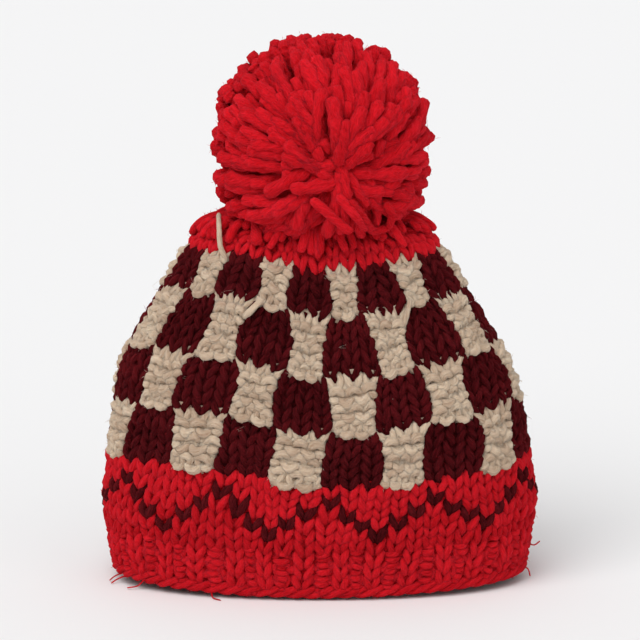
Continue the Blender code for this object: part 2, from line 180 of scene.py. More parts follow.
# The cloth's rows, and the pattern in stitches from the front's middle
RIB_ROWS = 3
BAND_ROWS = 6
TIER_ROWS = (5, 5, 5, 4)
CROWN_STITCHES = (40, 36, 28, 20)
CROWN_END = 0.985  # the path where the crown's last row ends
UPPER_STITCHES = 40  # in a row of the upper tier
UPPER_SHIFT = 1 / 6  # stitches
EDGE_HEIGHT = 0.0035
TOP_ROW_SIDE = 0.5  # how far forward a square's top row lies
FIRST_ROW_NEXT = 0.5
REPEAT = 6
UPPER_REPEAT = 4
SQUARE_COLUMNS = REPEAT // 2
ZIGZAG_LOW = 3
FIRST_SQUARE_MIDDLE = -2

# Loose lengths of yarn: the pixels where the photograph shows them, how far each point stands out, the radius
CREAM_ENDS = (
    (((226, 260), (223, 247), (223, 232), (219, 214)), (-0.001, 0.004, 0.0075, 0.005), 0.0014),
    (((244, 317), (252, 310), (262, 300)), (-0.0015, 0.0012, 0.0), 0.0019),
    (((403, 326), (407, 312), (410, 299)), (-0.001, 0.0015, -0.001), 0.0014),
)
RED_ENDS = (
    (((262, 206), (257, 224), (258, 245)), (0.008, 0.007, 0.004), 0.0034),
    (((212, 214), (206, 222), (200, 232)), (0.003, 0.003, 0.001), 0.0022),
    (((226, 214), (219, 226), (214, 238)), (0.003, 0.003, 0.001), 0.0022),
)
# The same for the bobble's loose ends, which stand out from the strands behind them
BOBBLE_ENDS = (
    (
        ((350, 202), (362, 217), (376, 231), (388, 227), (392, 215), (386, 204)),
        (0, 0.001, 0.001, 0.001, 0.001, 0),
        0.0025,
    ),
    (((312, 200), (330, 215), (350, 232)), (0, 0.001, 0.001), 0.0027),
    (((338, 196), (352, 212), (366, 228)), (0, 0.001, 0), 0.0026),
)
# The hem's wisps: their pixels, and how far their tips stand out
HEM_WISPS = (
    (((124, 572), (116, 577), (113, 584)), 0.006),
    (((128, 575), (120, 580), (118, 586)), 0.007),
    (((146, 578), (140, 584), (134, 586)), 0.006),
    (((210, 590), (214, 596), (222, 599)), 0.005),
    (((526, 540), (533, 545), (538, 541)), 0.005),
    (((524, 566), (530, 570), (533, 577)), 0.005),
)
WISP = 0.0004  # radius

# A wool's darkest and lightest colour, its sheen, the sheen's tint, how far each colour of light goes in it and how
# streaky it is
Wool = namedtuple("Wool", "name dark light sheen tint scatter streak")
DEEP, EVEN = (1.0, 0.35, 0.3), (1.0, 0.9, 0.8)
WOOLS = {
    "red_yarn": Wool("red_wool", (0.30, 0.001, 0.003), (0.80, 0.016, 0.028), 0.05, (1.0, 0.25, 0.3), DEEP, 0.9),
    "bobble_yarn": Wool("bobble_wool", (0.32, 0.001, 0.002), (0.88, 0.015, 0.028), 0.06, (1.0, 0.3, 0.4), DEEP, 1.1),
    "maroon_yarn": Wool("maroon_wool", (0.018, 0.0004, 0.001), (0.132, 0.008, 0.011), 0.02, (0.8, 0.3, 0.3), DEEP, 1.3),
    "cream_yarn": Wool("cream_wool", (0.36, 0.225, 0.150), (0.82, 0.670, 0.505), 0.05, (1.0, 0.9, 0.8), EVEN, 0.9),
}
FINE_FIBRES = (1000.0, 1000.0, 230.0)  # across the yarn twice and along it, a metre
BROAD_FIBRES = (500.0, 500.0, 90.0)
BROAD_SHARE = 0.35  # of the broad fibres in the colour
SHADE_SHARE = 0.3  # of the strand's shade attribute in the colour: its own tone at random, and on the bobble also painted shade, darker towards the roots
FIBRE_RELIEF = 0.0016
SCATTER_DEPTH = 0.0022

# The camera
PICTURE = 640  # pixels
FRAME_WIDTH = 0.3456  # what the picture spans at the target
CAMERA_DISTANCE = 2.6
CAMERA_ELEVATION = 12
CAMERA_TARGET = (0.0003, 0.0, 0.1427)
RISE = math.radians(CAMERA_ELEVATION)
AIM = np.array([0, math.cos(RISE), -math.sin(RISE)])
UP = np.array([0, math.sin(RISE), math.cos(RISE)])
EYE = np.array(CAMERA_TARGET) - AIM * CAMERA_DISTANCE
SENSOR = 36
SEARCH_PIXELS = 7  # round a pixel, for the bobble's nearest strand

# The studio
WORLD_STRENGTH = 0.56
FLOOR_REACH = 9
FLOOR_COLOUR = (0.86, 0.86, 0.865, 1.0)
# Each sun's place, softness in degrees and strength
SUNS = (("key", (-0.55, -1.0, 1.35), 50, 1.95), ("fill", (0.9, -1.2, 0.7), 60, 0.28))

rng = np.random.default_rng(7)


def unit(vectors, least=0.0):
    """Vectors brought to length 1. Where they may have no length, least keeps the division sound."""
    return vectors / (np.linalg.norm(vectors, axis=-1, keepdims=True) + least)


def monotone_curve(at, values):
    """A smooth curve through the values that never overshoots them, as a function of place."""
    at, values = np.asarray(at, float), np.asarray(values, float)
    chord = np.diff(values) / np.diff(at)
    slope = np.zeros(len(at))
    same_way = chord[:-1] * chord[1:] > 0
    sums = np.where(same_way, chord[:-1] + chord[1:], 1.0)
    slope[1:-1] = np.where(same_way, 2 * chord[:-1] * chord[1:] / sums, 0.0)
    slope[0], slope[-1] = chord[0], chord[-1]

    def curve(place):
        place = np.clip(place, at[0], at[-1])
        left = np.clip(np.searchsorted(at, place) - 1, 0, len(at) - 2)
        span = at[left + 1] - at[left]
        t = (place - at[left]) / span
        rise = values[left] * (1 + 2 * t) * (1 - t) ** 2 + values[left + 1] * t * t * (3 - 2 * t)
        return rise + span * (slope[left] * t * (1 - t) ** 2 - slope[left + 1] * t * t * (1 - t))

    return curve


class Wall:
    """The hat's outer surface as a fine grid over turn and path, read between its points."""

    PATHS = 500
    TURNS = 1440

    def __init__(self):
        height, width, depth, lift, skew, shift, drift = np.array(SECTIONS).T
        height, width, depth = height * TOP, width * HAT_WIDTH / 2, depth * HAT_DEPTH / 2
        along = np.concatenate([[0], np.cumsum(np.hypot(np.diff(width), np.diff(height)))])
        self.paths = np.linspace(0, 1, self.PATHS)
        self.height, self.width, self.depth, lift, skew, shift, drift = [
            monotone_curve(along / along[-1], values)(self.paths)
            for values in (
                height, width, depth, lift * SIDE_LIFT, skew * ROW_SKEW, shift * TOP_SHIFT, drift / COLUMNS
            )
        ]
        angle = np.linspace(0, 2 * math.pi, self.TURNS + 1)
        power = 2 / SECTION_FULLNESS
        unit_x = np.sign(np.sin(angle)) * np.abs(np.sin(angle)) ** power
        unit_y = -np.sign(np.cos(angle)) * np.abs(np.cos(angle)) ** power
        turns = np.arange(self.TURNS) / self.TURNS
        self.grid = np.zeros((self.PATHS, self.TURNS, 3))
        self.girth = np.zeros(self.PATHS)
        for i in range(self.PATHS):
            x, y = unit_x * self.width[i], unit_y * self.depth[i]
            share = np.concatenate([[0], np.cumsum(np.hypot(np.diff(x), np.diff(y)))])
            self.girth[i] = share[-1]
            share /= share[-1]
            at = (turns + drift[i] + FRONT_SPREAD / COLUMNS * np.sin(2 * math.pi * turns)) % 1
            gx, gy = np.interp(at, share, x), np.interp(at, share, y)
            self.grid[i, :, 0] = gx + shift[i]
            self.grid[i, :, 1] = gy
            across = gx / self.width[i]
            slant = np.sin(math.pi * across)
            self.grid[i, :, 2] = self.height[i] + lift[i] * np.abs(across) ** LIFT_CURVE
            self.grid[i, :, 2] += skew[i] * (SKEW_BALANCE * slant**2 - slant)
        round_way = np.roll(self.grid, -1, 1) - np.roll(self.grid, 1, 1)
        up_way = np.gradient(self.grid, axis=0)
        self.normal = unit(np.cross(round_way, up_way))

    def path_at(self, height):
        """The path where the front of the wall has this height."""
        return np.interp(height, self.height, self.paths)

    def girth_at(self, path):
        """How far it is round the wall at a path."""
        return np.interp(path, self.paths, self.girth)

    def at(self, turns, paths, out):
        """Points at turns and paths, moved outward by a distance."""
        turns, paths, out = np.broadcast_arrays(turns, paths, out)
        row = np.clip(paths, 0, 1) * (self.PATHS - 1)
        low = np.clip(row.astype(int), 0, self.PATHS - 2)
        fr = (row - low)[..., None]
        col = (turns % 1) * self.TURNS
        left = col.astype(int) % self.TURNS
        right = (left + 1) % self.TURNS
        fc = (col - np.floor(col))[..., None]

        def read(grid):
            lower = grid[low, left] * (1 - fc) + grid[low, right] * fc
            upper = grid[low + 1, left] * (1 - fc) + grid[low + 1, right] * fc
            return lower * (1 - fr) + upper * fr

        return read(self.grid) + read(self.normal) * out[..., None]


# A row's kind, how many stitches it has round, its tier, its step in the tier or band, and its stitches' shift
Row = namedtuple("Row", "kind stitches tier step shift")


class Cloth:
    """The hat's rows of stitches and where they lie on the wall."""

    def __init__(self, wall):
        self.wall = wall
        self.waves = []
        for _ in range(WAVES):
            wave = (rng.integers(3, 16), rng.uniform(-1.1, 1.1), rng.uniform(0, 6.28))
            self.waves.append((*wave, *[rng.normal(0, reach) for reach in WANDER]))
        tiers = accumulate((share * CHECKS_HEIGHT for share in TIER_SHARES), initial=BODY_LOW)
        heights = [EDGE_HEIGHT, HEM_HEIGHT, *tiers]
        edges = [wall.path_at(EDGE_HEIGHT)]
        for low, high, count in zip(heights, heights[1:], (RIB_ROWS, BAND_ROWS, *TIER_ROWS)):
            edges += list(wall.path_at(np.linspace(low, high, count + 1)[1:]))
        edges += list(np.linspace(wall.path_at(CROWN_LOW), CROWN_END, len(CROWN_STITCHES) + 1)[1:])
        self.rows = [Row("rib", COLUMNS, 0, k, 0) for k in range(RIB_ROWS)]
        self.rows += [Row("band", COLUMNS, 0, k, 0) for k in range(BAND_ROWS)]
        self.tier_starts = []
        for tier, count in enumerate(TIER_ROWS):
            self.tier_starts.append(len(self.rows))
            upper = tier == len(TIER_ROWS) - 1
            stitches, shift = (UPPER_STITCHES, UPPER_SHIFT) if upper else (COLUMNS, 0)
            self.rows += [Row("check", stitches, tier, k, shift) for k in range(count)]
        self.rows += [Row("crown", count, 0, 0, UPPER_SHIFT) for count in CROWN_STITCHES]
        edges = np.array(edges)
        below = edges[0] - (edges[1] - edges[0]) * np.array([2.0, 1.0])
        above = edges[-1] + (edges[-1] - edges[-2]) * np.array([1.0, 2.0])
        self.places = np.arange(-2, len(edges) + 2)
        self.edges = np.concatenate([below, edges, above])

    def path(self, place):
        """The path of a place counted in rows from the first row's lower edge."""
        return np.interp(place, self.places, self.edges)

    def yarn(self, row, column):
        """Which yarn a stitch is worked in."""
        kind, stitches, tier, step, _ = self.rows[row]
        if kind == "band":
            half = REPEAT // 2
            steps = abs((column - ZIGZAG_LOW + half) % REPEAT - half)
            return "zigzag" if step == 1 + steps else "band"
        if kind == "check":
            if stitches == COLUMNS:
                local = (column - FIRST_SQUARE_MIDDLE + 1 + SQUARE_COLUMNS * (tier % 2)) % REPEAT
                return "cream" if local < SQUARE_COLUMNS else "maroon"
            return "cream" if column % UPPER_REPEAT < UPPER_REPEAT // 2 else "maroon"
        return kind

    def side(self, row, column):
        """+1 for a knit stitch, whose legs lie in front, and -1 for a purl stitch. The top row of a square is drawn
        forward by the stitches above it."""
        if row >= len(self.rows):
            return 1.0
        kind, _, tier, step, _ = self.rows[row]
        if kind == "rib":
            return -1.0 if column % 2 == 0 else 1.0
        if kind == "check" and self.yarn(row, column) == "cream":
            if step == 0:
                return 1.0
            return TOP_ROW_SIDE if step == TIER_ROWS[tier] - 1 else -1.0
        return 1.0

    def warp(self, turns, place):
        """How far hand knitting wanders from an even grid, in stitches and in rows."""
        aside = np.zeros(np.shape(turns))
        up = np.zeros(np.shape(turns))
        for around, along, phase, wide, tall in self.waves:
            wave = np.sin(2 * math.pi * around * turns + along * place + phase)
            aside = aside + wide * wave
            up = up + tall * wave
        half = SQUARE_COLUMNS / 2
        from_foot, to_top = DRAW_ROWS
        for tier, (low, count) in enumerate(zip(self.tier_starts, TIER_ROWS)):
            middle = FIRST_SQUARE_MIDDLE + SQUARE_COLUMNS * (tier % 2)
            part = np.clip((place - low) / from_foot, 0, 1) * np.clip((low + count - place) / to_top, 0, 1)
            from_middle = (turns * COLUMNS - middle + half) % REPEAT - half
            from_middle = np.where(from_middle > half, SQUARE_COLUMNS - from_middle, from_middle)
            aside = aside - DRAWN_IN[tier] * part * from_middle / half
        return aside, up

    def reach(self, row, column):
        """Half the height of a stitch, in rows."""
        side = self.side(row, column)
        return PURL_REACH if side < 0 else TOP_REACH if side < 1 else LOOP_REACH

    def next_side(self, row, column):
        """The side of the stitch that is worked into this one."""
        kind, _, _, step, _ = self.rows[row]
        if kind == "check" and step == 0 and self.yarn(row, column) == "cream":
            return FIRST_ROW_NEXT
        if row + 1 >= len(self.rows):
            return 1.0
        share = self.rows[row + 1].stitches / self.rows[row].stitches
        return self.side(row + 1, int(round(column * share)))

    def runs(self, row, wanted):
        """The runs of neighbouring stitches of one row in one yarn, each a first column and a count."""
        count = self.rows[row].stitches
        mask = [self.yarn(row, c) == wanted for c in range(count)]
        if all(mask):
            return [(0, count)]
        found = []
        for c in range(count):
            if mask[c] and not mask[c - 1]:
                n = 1
                while mask[(c + n) % count]:
                    n += 1
                found.append((c, n))
        return found

    def loops(self, row, first, count):
        """The centre line of a run of stitches, with each point's yarn radius."""
        stitches, shift = self.rows[row].stitches, self.rows[row].shift
        whole = count == stitches
        trim = 0.0 if whole else END_TRIM
        total = STEPS * count
        t = np.linspace(-math.pi + trim, 2 * math.pi * count - math.pi - trim, total + 1)
        i = np.clip(np.floor((t + math.pi) / (2 * math.pi)).astype(int), 0, count - 1)
        tau = t - 2 * math.pi * i
        sides, nexts, reaches = [
            np.array([ask(row, first + c) for c in range(-1, count + 1)])
            for ask in (self.side, self.next_side, self.reach)
        ]
        blend = np.clip((np.abs(tau) - math.pi / 2) / math.pi, 0, 0.5)

        def blended(values):
            beside = np.where(tau > 0, values[np.minimum(i + 2, count + 1)], values[i])
            return values[i + 1] * (1 - blend) + beside * blend

        low_side = blended(sides)
        arc_side = np.where(np.cos(tau) > 0, nexts[i + 1], low_side)
        arc = np.where(arc_side < 0, np.abs(np.cos(tau)) ** 0.5, np.cos(tau) ** 2)
        swing = low_side * (1 - arc) - arc * arc_side
        swing = np.where(arc_side < 0, np.minimum(swing, 0.0), swing)
        reach = np.where(np.cos(tau) > 0, reaches[i + 1], blended(reaches))
        stray = [share * track for share, track in zip(STRAY, jitter(count + 1, total + 1))]
        x = first + i + tau / (2 * math.pi) + LOOP_SPREAD * np.sin(2 * tau) + stray[0] + shift
        place = row + 0.5 + ROW_RISE + reach * np.cos(tau) + stray[1]
        aside, up = self.warp(x / stitches, place)
        x, path = x + aside * stitches / COLUMNS, self.path(place + up)
        out = CLOTH_DEPTH + LOOP_DEPTH * swing + stray[2]
        if not whole:
            ends = np.minimum(np.arange(total + 1), np.arange(total + 1)[::-1]) / 3
            out -= END_SINK * np.clip(1 - ends, 0, 1)
        width = self.wall.girth_at(self.path(row + 0.5)) / stitches
        if self.yarn(row, first) == "cream":
            width *= TOP_ROW_WIDTH if self.reach(row, first) == TOP_REACH else 1.0
            width *= UPPER_WIDTH if stitches != COLUMNS else 1.0
            radius = min(CREAM_YARN, CREAM_SHARE * width)
        else:
            radius = min(YARN, YARN_SHARE * width)
        return self.wall.at(x / stitches, path, out), radius * (1 + stray[3])


def jitter(knots, count):
    """Four smooth random tracks, with one knot for each stitch."""
    knots = max(knots, 2)
    at = np.linspace(0, knots - 1, count)
    return [np.interp(at, np.arange(knots), rng.normal(0, 1, knots).clip(-2, 2)) for _ in range(4)]


def ring_quads(rings, sides, closed=False):
    """The quads between neighbouring rings of points, and also from the last ring to the first if closed."""
    k, j = np.meshgrid(np.arange(rings if closed else rings - 1), np.arange(sides), indexing="ij")
    beside, up = (j + 1) % sides, (k + 1) % rings
    return np.stack([k * sides + j, k * sides + beside, up * sides + beside, up * sides + j], axis=-1).reshape(-1, 4)


def copied(faces, count, step):
    """One copy's faces taken on through all copies, whose points lie a step apart in the list."""
    return (faces[None] + np.arange(count)[:, None, None] * step).reshape(-1, faces.shape[1])


def add_object(name, data):
    """A new object in the scene."""
    made = bpy.data.objects.new(name, data)
    bpy.context.scene.collection.objects.link(made)
    return made


class Strands:
    """Gathers tubes of yarn and turns them into one mesh."""

    def __init__(self):
        self.verts, self.quads, self.tris, self.fibre, self.shade = [], [], [], [], []
        self.count = 0

    def store(self, verts, quads, tris, fibre, shade):
        """Keeps points with their place in the yarn and their shade, and the faces between them."""
        self.quads.append(quads + self.count)
        self.tris.append(tris + self.count)
        self.verts.append(verts)
        self.fibre.append(fibre)
        self.shade.append(shade)
        self.count += len(verts)

    def add(self, lines, radii, sides=SIDES, shades=None, twist=TWIST, ends=0.6, lumps=0.06):
        """Adds tubes along lines with equally many points. Ends is how far the tips stand out in radii, and lumps the
        surface's unevenness as a share of the radius."""
        lines = np.asarray(lines, float)
        radii = np.broadcast_to(np.asarray(radii, float), lines.shape[:2])
        n, m, _ = lines.shape
        tangent = unit(np.gradient(lines, axis=1), TINY)
        helper = np.where(np.abs(tangent[:, :1, 2:3]) < 0.8, [[[0.0, 0.0, 1.0]]], [[[1.0, 0.0, 0.0]]])[:, 0]
        side = unit(np.cross(tangent[:, 0], helper))
        frames = np.zeros((n, m, 3))
        frames[:, 0] = side
        for k in range(1, m):
            side = unit(side - tangent[:, k] * np.sum(side * tangent[:, k], axis=1)[:, None], TINY)
            frames[:, k] = side
        other = np.cross(tangent, frames)
        angle = np.arange(sides) / sides * 2 * math.pi
        cos, sin = np.cos(angle), np.sin(angle)
        ring = frames[:, :, None] * cos[:, None] + other[:, :, None] * sin[:, None]
        bumps = rng.normal(0, lumps, (n, m, sides)).clip(-2 * lumps, 2 * lumps)
        bumps[:, 1:] = 0.5 * (bumps[:, 1:] + bumps[:, :-1])
        ring = lines[:, :, None] + ring * (radii[..., None] * (1 + bumps))[..., None]
        length = np.zeros((n, m))
        length[:, 1:] = np.cumsum(np.linalg.norm(np.diff(lines, axis=1), axis=2), axis=1)
        turn = angle + twist * length[..., None]
        length += rng.uniform(0, 4, n)[:, None]
        fibre = np.stack([np.cos(turn), np.sin(turn), np.ones(turn.shape)], axis=-1)
        fibre *= np.stack([radii, radii, length], axis=-1)[:, :, None]
        caps = np.stack(
            [lines[:, 0] - tangent[:, 0] * radii[:, :1] * ends,
             lines[:, -1] + tangent[:, -1] * radii[:, -1:] * ends], axis=1
        )
        cap_fibre = length[:, [0, -1], None] * [0, 0, 1]
        verts = np.concatenate([ring.reshape(n, -1, 3), caps], axis=1)
        fibres = np.concatenate([fibre.reshape(n, -1, 3), cap_fibre], axis=1)
        shades = rng.uniform(0, 1, (n, 1)) if shades is None else shades
        shades = np.broadcast_to(shades, (n, m))
        shade = np.repeat(shades, sides, axis=1)
        shade = np.concatenate([shade, shades[:, :1], shades[:, -1:]], axis=1)
        j = np.arange(sides)
        beside = (j + 1) % sides
        first = np.stack([np.full(sides, m * sides), beside, j], axis=1)
        last = np.stack([np.full(sides, m * sides + 1), (m - 1) * sides + j, (m - 1) * sides + beside], axis=1)
        step = m * sides + 2
        quads, tris = copied(ring_quads(m, sides), n, step), copied(np.concatenate([first, last]), n, step)
        self.store(verts.reshape(-1, 3), quads, tris, fibres.reshape(-1, 3), shade.reshape(-1))

    def add_each(self, pairs, **options):
        """Adds tubes from pairs of a line and its radii, those of one length together."""
        groups = {}
        for line, radii in pairs:
            groups.setdefault(len(line), []).append((line, radii))
        for group in groups.values():
            self.add(*[np.array(part) for part in zip(*group)], **options)

    def add_slab(self, rows):
        """Adds a closed slab: rings of points that run along its outer face and back along its inner one."""
        rows = np.asarray(rows)
        flat = rows.reshape(-1, 3)
        quads = ring_quads(*rows.shape[:2], closed=True)
        self.store(flat, quads, np.zeros((0, 3), int), flat, np.zeros(len(flat)))

    def add_hairs(self, base, middle, tip, radius):
        """Adds hairs that are thickest in the middle and end in points."""
        n = len(base)
        along = tip - base
        side = unit(np.cross(along, rng.normal(0, 1, (n, 3))), TINY)
        other = unit(np.cross(along, side), TINY)
        angle = np.arange(3) / 3 * 2 * math.pi
        ring = side[:, None] * np.cos(angle)[:, None] + other[:, None] * np.sin(angle)[:, None]
        verts = np.concatenate([base[:, None], middle[:, None] + radius * ring, tip[:, None]], axis=1).reshape(-1, 3)
        tri = np.array([(0, 2, 1), (0, 3, 2), (0, 1, 3), (4, 1, 2), (4, 2, 3), (4, 3, 1)])
        shade = np.repeat(rng.uniform(0.3, 1, n), 5)
        self.store(verts, np.zeros((0, 4), int), copied(tri, n, 5), verts * [0, 0, 1], shade)

    def surface_points(self, count):
        """Random points on the tubes so far, with the directions that the surface faces there."""
        verts, quads = np.concatenate(self.verts), np.concatenate(self.quads)
        pick = quads[rng.integers(0, len(quads), count)]
        corners = verts[pick]
        facing = np.cross(corners[:, 2] - corners[:, 0], corners[:, 3] - corners[:, 1])
        return corners.mean(axis=1), unit(facing, TINY)

    def build(self, name, material):
        """Makes the mesh, with no point below the floor."""
        verts = np.concatenate(self.verts)
        verts[:, 2] = np.maximum(verts[:, 2], FLOOR_GAP)
        quads, tris = np.concatenate(self.quads), np.concatenate(self.tris)
        mesh = bpy.data.meshes.new(name)
        mesh.vertices.add(len(verts))
        mesh.vertices.foreach_set("co", verts.astype(np.float32).ravel())
        corners = np.concatenate([quads.ravel(), tris.ravel()]).astype(np.int32)
        mesh.loops.add(len(corners))
        mesh.loops.foreach_set("vertex_index", corners)
        starts = np.concatenate([np.arange(len(quads)) * 4, len(quads) * 4 + np.arange(len(tris)) * 3])
        mesh.polygons.add(len(starts))
        mesh.polygons.foreach_set("loop_start", starts.astype(np.int32))
        mesh.update(calc_edges=True)
        mesh.validate()
        fibre = mesh.attributes.new("fibre", "FLOAT_VECTOR", "POINT")
        fibre.data.foreach_set("vector", np.concatenate(self.fibre).astype(np.float32).ravel())
        shade = mesh.attributes.new("shade", "FLOAT", "POINT")
        shade.data.foreach_set("value", np.concatenate(self.shade).astype(np.float32))
        mesh.shade_smooth()
        mesh.materials.append(material)
        return add_object(name, mesh)


def fill(tree, made, inputs):
    """Sets a node's inputs, each to a value or to the output that feeds it."""
    for key, value in inputs.items():
        if isinstance(value, bpy.types.NodeSocket):
            tree.links.new(value, made.inputs[key])
        else:
            made.inputs[key].default_value = value


def node(tree, kind, inputs, **settings):
    """A new node with its settings and inputs."""
    made = tree.nodes.new(kind)
    for key, value in settings.items():
        setattr(made, key, value)
    fill(tree, made, inputs)
    return made


def yarn_material(wool):
    """Soft spun wool: fine fibres that run along the yarn, uneven dye, and a bloom of fuzz. The strands' shade
    attribute brings their own tone at random and, on the bobble, painted shade that darkens the strands towards their
    roots.
    """
    material = bpy.data.materials.new(wool.name)
    material.use_nodes = True
    tree = material.node_tree
    fibre = node(tree, "ShaderNodeAttribute", {}, attribute_name="fibre").outputs["Vector"]
    shade = node(tree, "ShaderNodeAttribute", {}, attribute_name="shade").outputs["Fac"]

    def noise(density, detail, roughness):
        place = node(tree, "ShaderNodeVectorMath", {0: fibre, 1: density}, operation="MULTIPLY").outputs[0]
        inputs = {"Vector": place, "Scale": 1.0, "Detail": detail, "Roughness": roughness}
        return node(tree, "ShaderNodeTexNoise", inputs).outputs["Fac"]

    def add_share(value, share, rest):
        return node(tree, "ShaderNodeMath", {0: value, 1: share, 2: rest}, operation="MULTIPLY_ADD").outputs[0]

    fine, broad = noise(FINE_FIBRES, 3.0, 0.6), noise(BROAD_FIBRES, 1.0, 0.5)
    level = 0.5 - wool.streak / 2 - BROAD_SHARE / 2 - SHADE_SHARE / 2
    level = add_share(shade, SHADE_SHARE, add_share(fine, wool.streak, add_share(broad, BROAD_SHARE, level)))
    ends = {"Factor": level, "A": (*wool.dark, 1.0), "B": (*wool.light, 1.0)}
    colour = node(tree, "ShaderNodeMix", ends, data_type="RGBA").outputs["Result"]
    relief = node(tree, "ShaderNodeBump", {"Strength": 1.5, "Distance": FIBRE_RELIEF, "Height": fine}).outputs[0]
    look = {
        "Base Color": colour,
        "Normal": relief,
        "Roughness": 1.0,
        "Specular IOR Level": 0.03,
        "Subsurface Weight": 0.5,
        "Subsurface Radius": wool.scatter,
        "Subsurface Scale": SCATTER_DEPTH,
        "Sheen Weight": wool.sheen,
        "Sheen Roughness": 0.45,
        "Sheen Tint": (*wool.tint, 1.0),
    }
    fill(tree, tree.nodes["Principled BSDF"], look)
    return material


def hairs(strands, source, count, lengths=HAIR_LENGTHS):
    """Fine loose fibres that stand off the yarn."""
    base, normal = source.surface_points(count)
    side = unit(np.cross(normal, rng.normal(0, 1, (count, 3))))
    lean = normal * rng.uniform(*HAIR_STAND, count)[:, None] + side
    lean *= (rng.uniform(*lengths, count) / np.linalg.norm(lean, axis=1))[:, None]
    bend = np.cross(lean, rng.normal(0, 1, (count, 3))) * 0.10
    strands.add_hairs(base, base + lean * 0.45 + bend, base + lean, HAIR_RADIUS)


def flyaways(strands, source, count):
    """A few long, curling fibres that have come loose."""
    base, normal = source.surface_points(count)
    t = np.linspace(0, 1, 8)[:, None, None]
    first, second = rng.normal(0, 1, (2, count, 3))
    length = rng.uniform(*FLYAWAY_LENGTHS, count)[:, None]
    lift = normal * 0.25
    curl = np.sin(t * rng.uniform(2, 5, (count, 1))) * second * 0.22
    points = base + (lift * np.sin(math.pi * t) + first * t * 0.5 + curl) * length
    depth = np.sum((points - base) * normal, axis=-1, keepdims=True)
    points -= normal * np.minimum(depth, 0)
    lines = np.transpose(points, (1, 0, 2))
    strands.add(lines, FLYAWAY_RADIUS, sides=3, ends=0.2, lumps=0.0)


def lid(edge, height):
    """Rings that close the cloth's top, from its edge towards the middle."""
    middle = edge.mean(axis=0)
    rings = [middle + (edge - middle) * share for share in LID_SHARES]
    for ring in rings:
        ring[:, 2] = height
    return rings


def backing(strands, wall, low, high, rows, close=False):
    """A thin layer in the middle of the cloth between two heights, which stops the light between the stitches."""
    paths = np.linspace(wall.path_at(low), wall.path_at(high), rows)
    turns = np.arange(BACKING_COLUMNS) / BACKING_COLUMNS
    outer = [wall.at(turns, p, CLOTH_DEPTH + BACKING_HALF) for p in paths]
    inner = [wall.at(turns, p, CLOTH_DEPTH - BACKING_HALF) for p in paths[::-1]]
    if close:
        outer = outer + lid(outer[-1], TOP + CLOTH_DEPTH + BACKING_HALF)
        inner = lid(inner[0], TOP + CLOTH_DEPTH - BACKING_HALF)[::-1] + inner
    strands.add_slab(outer + inner)


def cast_on(strands, wall):
    """The hem's edge: three strands laid round one another like a rope."""
    count = COLUMNS * 8
    t = np.linspace(0, 1, count + 1)
    for k in range(3):
        angle = 2 * math.pi * (t * COLUMNS / 3 + k / 3)
        out = CLOTH_DEPTH + 0.0004 + ROPE_REACH * np.cos(angle)
        path = wall.path_at(ROPE_HEIGHT + ROPE_REACH * np.sin(angle))
        strands.add(wall.at(t, path, out)[None], ROPE_YARN)


def knit(strands, cloth, yarn, rows, sides=SIDES):
    """The stitches of one yarn in these rows."""
    pairs = [cloth.loops(row, first, count) for row in rows for first, count in cloth.runs(row, yarn)]
    strands.add_each(pairs, sides=sides)


def bumps(strands, cloth, row, spots, radius):
    """Short fat arcs of yarn, which is how purl stitches show. A spot is a column, a place in rows, half the arc's
    width in stitches, its bend in rows and how far its middle stands out from the cloth's middle."""
    stitches, shift = cloth.rows[row].stitches, cloth.rows[row].shift
    column, place, half, bend, out = np.array(spots, float).T[..., None]
    n = len(column)
    t = np.linspace(-1, 1, 8)
    x = column + shift + rng.normal(0, 0.05, (n, 1)) + half * rng.uniform(0.94, 1.08, (n, 1)) * t
    y = place + rng.normal(0, 0.05, (n, 1)) + bend * (t * t - 0.4) + rng.normal(0, 0.08, (n, 1)) * t
    aside, up = cloth.warp(x / stitches, y)
    depth = CLOTH_DEPTH + out - BUMP_DROP * t * t
    points = cloth.wall.at(x / stitches + aside / COLUMNS, cloth.path(y + up), depth)
    radii = radius * rng.uniform(0.92, 1.12, (n, 1)) * (1 - 0.32 * t * t)
    strands.add(points, radii, lumps=0.07)


def square_bumps(strands, cloth):
    """The purl bumps of the cream squares: lines of upward and downward arcs by turns, set like bricks."""
    for low, count in zip(cloth.tier_starts, TIER_ROWS):
        spots = []
        for first, wide in cloth.runs(low, "cream"):
            for line, level in enumerate(np.arange(low + 0.40, low + count - 0.6, BUMP_STEP)):
                if line % 2:
                    spots += [(first + k, level, 0.50, -0.60, 0.0024) for k in range(wide)]
                else:
                    spots += [(first + 0.5 + k, level, 0.54, 0.62, 0.0027) for k in range(wide - 1)]
                    spots += [(edge, level + 0.2, 0.30, 0.20, 0.0016) for edge in (first - 0.24, first + wide - 0.76)]
        bumps(strands, cloth, low, spots, SQUARE_BUMP)


def rib_bumps(strands, cloth, rows):
    """The purl bumps between the hem's ribs."""
    spots = [
        (column, level, 0.38, 0.10, 0.0018)
        for column in range(0, COLUMNS, 2)
        for level in np.arange(0.25, len(rows) + 0.35, 0.5)
    ]
    bumps(strands, cloth, rows[0], spots, RIB_BUMP)


def padding(strands, cloth, yarn, rows):
    """The body of the yarn behind a run's bumps, which closes the square between them."""
    for row in rows:
        stitches, shift = cloth.rows[row].stitches, cloth.rows[row].shift
        for first, count in cloth.runs(row, yarn):
            t = np.linspace(0, 1, 9)
            x = first + shift - 0.40 + (count - 0.2) * t
            place = row + 0.55 + 0 * t
            aside, up = cloth.warp(x / stitches, place)
            line = cloth.wall.at((x + aside) / stitches, cloth.path(place + up), CLOTH_DEPTH - PADDING_SINK)
            strands.add(line[None], PADDING_YARN, sides=FEW_SIDES)


